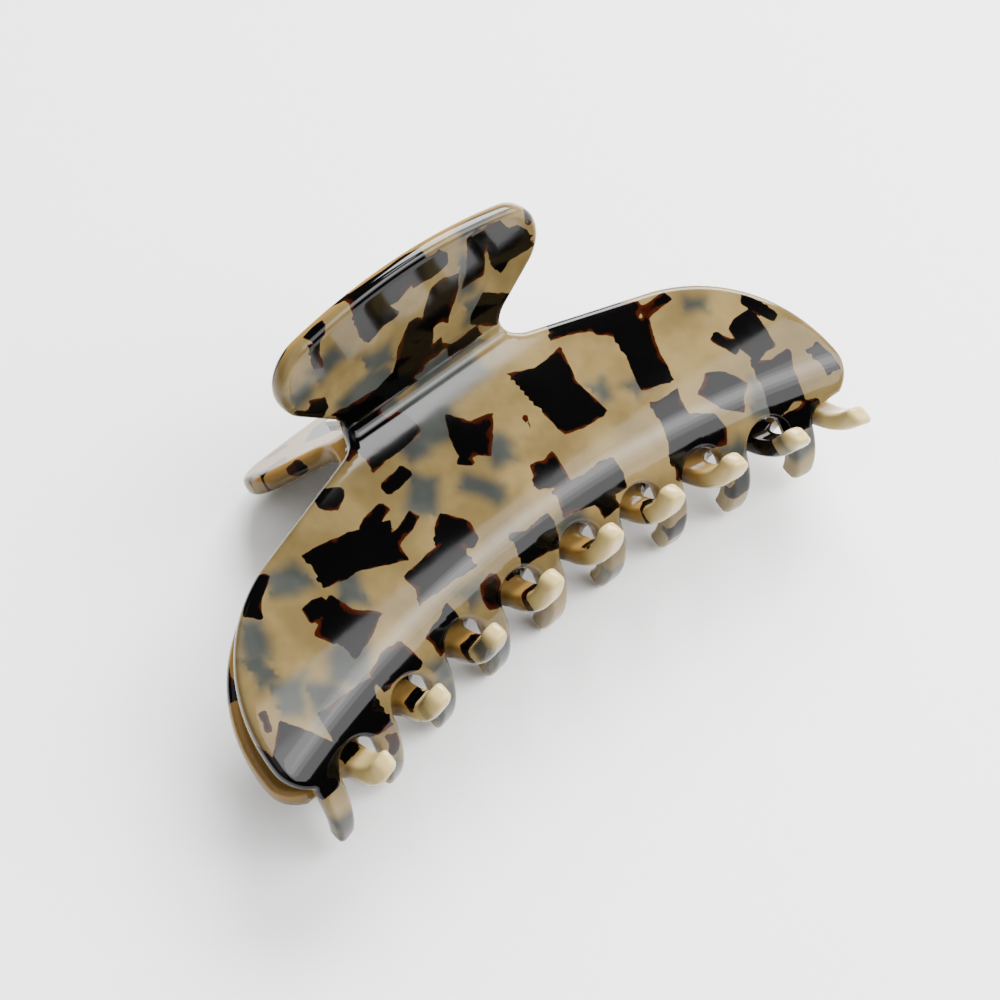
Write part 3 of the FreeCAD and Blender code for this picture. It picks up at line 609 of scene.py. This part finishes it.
def acetate(name, painted_tip_light):
    """Polished cream acetate with dark chips, thin red-brown at their torn edges.

    The inward faces are painted a warmer, brighter cream, a painted glow of light through the
    sheet, and the last argument is a paler cream painted on the thin tips of the teeth for their
    light and highlights.
    """
    nodes = Nodes(name)
    sheet = nodes.attribute("sheet").outputs["Vector"]
    along = nodes.add("SeparateXYZ", Vector=sheet).outputs
    ink = nodes.attribute("ink").outputs["Fac"]
    deep = nodes.attribute("deep").outputs["Fac"]

    tears = nodes.maths("MULTIPLY", nodes.maths("SUBTRACT", nodes.noise(sheet, 0.33, 1), 0.5), 0.9)
    fine = nodes.maths("MULTIPLY", nodes.maths("SUBTRACT", nodes.noise(sheet, 1.3, 1), 0.5), 0.16)
    torn = nodes.maths("ADD", ink, nodes.maths("ADD", tears, fine))
    blur = nodes.maths("ADD", deep, nodes.maths("MULTIPLY", tears, 0.8))

    clouds = nodes.steps(nodes.noise(sheet, 0.09, 3), 0.35, 0.68)
    streaks = nodes.steps(nodes.noise(sheet, 0.32, 4), 0.42, 0.7)
    cream = nodes.mix(clouds, CREAM, PALE_CREAM)
    cream = nodes.mix(nodes.maths("MULTIPLY", streaks, 0.35), cream, STREAK)
    # Painted glow: the inward faces are mixed to a warmer, brighter cream for light shining through
    # the sheet.
    cream = nodes.mix(nodes.steps(along["Z"], 0.4, -0.6), cream, INNER_CREAM_PAINTED_GLOW)
    # Painted light: the thin tips of the teeth turn a paler cream for the light through them and
    # their highlights.
    cream = nodes.mix(nodes.steps(along["Y"], -36.0, -41.0), cream, painted_tip_light)
    smoke = nodes.steps(blur, 1.3, -1.2)
    slate = nodes.mix(clouds, SLATE, PALE_SLATE)
    layer = nodes.mix(nodes.maths("MULTIPLY", smoke, 0.92), cream, slate)

    edge = nodes.steps(torn, 0.05, -0.05)
    rim = nodes.steps(nodes.noise(sheet, 0.28, 2), 0.42, 0.75)
    width = nodes.maths("MULTIPLY_ADD", rim, -0.9, -0.03)
    core = nodes.steps(nodes.maths("SUBTRACT", torn, width), 0.15, -0.15)
    rust = nodes.mix(nodes.steps(torn, 0.0, -0.7), RUST, DARK_RUST)
    chip = nodes.mix(core, rust, BLACK)
    colour = nodes.mix(edge, layer, chip)

    shader = nodes.shader
    nodes.put(shader.inputs["Base Color"], colour)
    nodes.put(shader.inputs["Roughness"], nodes.maths("MULTIPLY_ADD", clouds, 0.04, 0.05))
    shader.inputs["IOR"].default_value = 1.49
    shader.inputs["Specular IOR Level"].default_value = 0.22
    ripple = nodes.add("Bump", Strength=0.04, Distance=0.0002, Height=nodes.noise(sheet, 0.16, 2))
    nodes.put(shader.inputs["Normal"], ripple.outputs[0])
    return nodes.material


def steel(name, colour, roughness):
    """Plated steel with fine brushed lines and small spots of tarnish."""
    nodes = Nodes(name)
    place_at = nodes.tree.nodes.new("ShaderNodeTexCoord").outputs["Object"]
    lines = nodes.add("Mapping", Vector=place_at, Scale=(400.0, 6000.0, 6000.0)).outputs[0]
    brushed = nodes.noise(lines, 1.0, 2)
    spots = nodes.steps(nodes.noise(place_at, 900.0, 4), 0.55, 0.8)
    darker = tuple(c * 0.6 for c in colour[:3]) + (1,)
    nodes.put(nodes.shader.inputs["Base Color"], nodes.mix(spots, colour, darker))
    rough = nodes.maths("MULTIPLY_ADD", brushed, 0.15, roughness)
    nodes.put(nodes.shader.inputs["Roughness"], rough)
    nodes.shader.inputs["Metallic"].default_value = 1.0
    bump = nodes.add("Bump", Strength=0.1, Distance=0.00005, Height=brushed)
    nodes.put(nodes.shader.inputs["Normal"], bump.outputs[0])
    return nodes.material


def paper():
    """Matt white paper with a faint fibre."""
    nodes = Nodes("seamless_paper")
    place_at = nodes.tree.nodes.new("ShaderNodeTexCoord").outputs["Object"]
    fibre = nodes.noise(place_at, 500.0, 3)
    colour = nodes.mix(fibre, (0.84, 0.84, 0.84, 1), (0.87, 0.87, 0.87, 1))
    nodes.put(nodes.shader.inputs["Base Color"], colour)
    nodes.shader.inputs["Roughness"].default_value = 0.9
    bump = nodes.add("Bump", Strength=0.05, Distance=0.0001, Height=fibre)
    nodes.put(nodes.shader.inputs["Normal"], bump.outputs[0])
    return nodes.material


# ---------------------------------------------------------------- build

def build_jaws():
    """The two jaws from one flat shape, the rear one turned half round."""
    loop = outline()
    flat_points, triangles = flat_mesh(loop)
    depth = edge_distance(flat_points, loop)
    rng = np.random.default_rng(SCATTER_SEED)
    front = [chip_field(flat_points, FRONT_INK, rng), chip_field(flat_points, FRONT_DEEP, rng)]
    back_ink = scattered(rng, INNER_CHIPS[0], (4, 11), [])
    back_deep = scattered(rng, INNER_CHIPS[1], (4, 8), [])
    front_inner = [chip_field(flat_points, back_ink, rng), chip_field(flat_points, back_deep, rng)]
    on_handle = [chip for chip in REAR_INK if chip[1] > REAR_TEETH]
    rear_ink = list(REAR_INK) + scattered(rng, REAR_CHIPS[0], (4, 12), on_handle)
    rear_deep = list(REAR_DEEP) + scattered(rng, REAR_CHIPS[1], (3, 8), list(REAR_INK))
    rear = [chip_field(flat_points, rear_ink, rng), chip_field(flat_points, rear_deep, rng)]
    sheet = flat_points, triangles, depth
    front_piece = jaw("front_jaw_sheet", *sheet, REST, front, front_inner)
    front_piece.data.materials.append(acetate("front_acetate", FRONT_TIPS_PAINTED_LIGHT))
    rear_piece = jaw("rear_jaw_sheet", *sheet, REST @ HALF_TURN, rear, rear)
    rear_piece.data.materials.append(acetate("rear_acetate", REAR_TIPS_PAINTED_LIGHT))
    return front_piece, rear_piece


front_piece, rear_piece = build_jaws()
for piece, body, node in ((front_piece, "front_half", "front_jaw"),
                          (rear_piece, "rear_half", "rear_jaw")):
    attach(piece, body)
    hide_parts(node)

path, coil_length = spring_path()
spring = tube("torsion_spring_wire", path, WIRE / 2, REST)
spring.data.materials.append(steel("spring_steel", SPRING_STEEL, 0.22))
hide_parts("torsion_spring")
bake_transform(spring)

plated = steel("plated_steel", PLATED_STEEL, 0.28)
for node in ("front_bracket", "rear_bracket", "front_bracket_screws", "rear_bracket_screws",
             "hinge_pin", "pin_retainer"):
    item = frame["nodes"][node]
    item.data.materials.clear()
    item.data.materials.append(plated)


# ---------------------------------------------------------------- floor, light and camera

FLOOR_HALF = 2.5
CAMERA_AT = (-0.146084, -0.146287, 0.323108)
CAMERA_TURN = (33.3206, -2.4750, -41.9927)
LENS, SENSOR = 95.46, 36


def add_floor():
    signs = ((-1, -1), (1, -1), (1, 1), (-1, 1))
    corners = [(x * FLOOR_HALF, y * FLOOR_HALF, 0) for x, y in signs]
    floor = new_object("floor", corners, [(0, 1, 2, 3)], Matrix.Identity(4))
    floor.data.materials.append(paper())


def softbox(name, at, size, radiance, aim=None):
    """Rectangular light of an even brightness, facing down or towards a point."""
    light = bpy.data.lights.new(name, "AREA")
    light.shape = "RECTANGLE"
    light.size, light.size_y = size
    light.energy = radiance * math.pi * size[0] * size[1]
    item = bpy.data.objects.new(name, light)
    item.location = at
    if aim:
        item.rotation_euler = (Vector(aim) - Vector(at)).to_track_quat("-Z", "Y").to_euler()
    bpy.context.scene.collection.objects.link(item)


def add_world(strength):
    world = bpy.data.worlds.new("studio")
    world.use_nodes = True
    background = world.node_tree.nodes["Background"]
    background.inputs["Color"].default_value = (0.95, 0.97, 1.0, 1)
    background.inputs["Strength"].default_value = strength
    bpy.context.scene.world = world


def add_camera():
    camera = bpy.data.cameras.new("camera")
    camera.lens, camera.sensor_width = LENS, SENSOR
    camera.clip_start, camera.clip_end = 0.01, 20
    item = bpy.data.objects.new("camera", camera)
    item.location = CAMERA_AT
    item.rotation_euler = Euler([math.radians(a) for a in CAMERA_TURN])
    bpy.context.scene.collection.objects.link(item)
    bpy.context.scene.camera = item


add_floor()
softbox("wide_key", (0.32, -0.415, 0.6), (0.7, 0.67), 7.5)
softbox("core_outer", (0.30, -0.30, 0.59), (0.46, 0.32), 4.0)
softbox("core_middle", (0.29, -0.27, 0.58), (0.30, 0.20), 5.0)
softbox("core_inner", (0.285, -0.255, 0.57), (0.15, 0.10), 6.0)
softbox("neck_strip", (0.25, 0.145, 0.6), (0.10, 0.10), 24)
softbox("back_key", (1.0, 0.72, 0.95), (1.1, 0.75), 36, (0, 0, 0))
softbox("left_fill", (-1.3, -0.3, 1.2), (2.0, 2.0), 0.5, (0, 0, 0))
softbox("right_fill", (1.5, -0.9, 0.8), (1.2, 0.8), 12, (0.2, -0.2, 0))
softbox("top_fill", (-0.8, 0.3, 1.5), (1.5, 2.0), 1.2)
add_world(0.06)
add_camera()
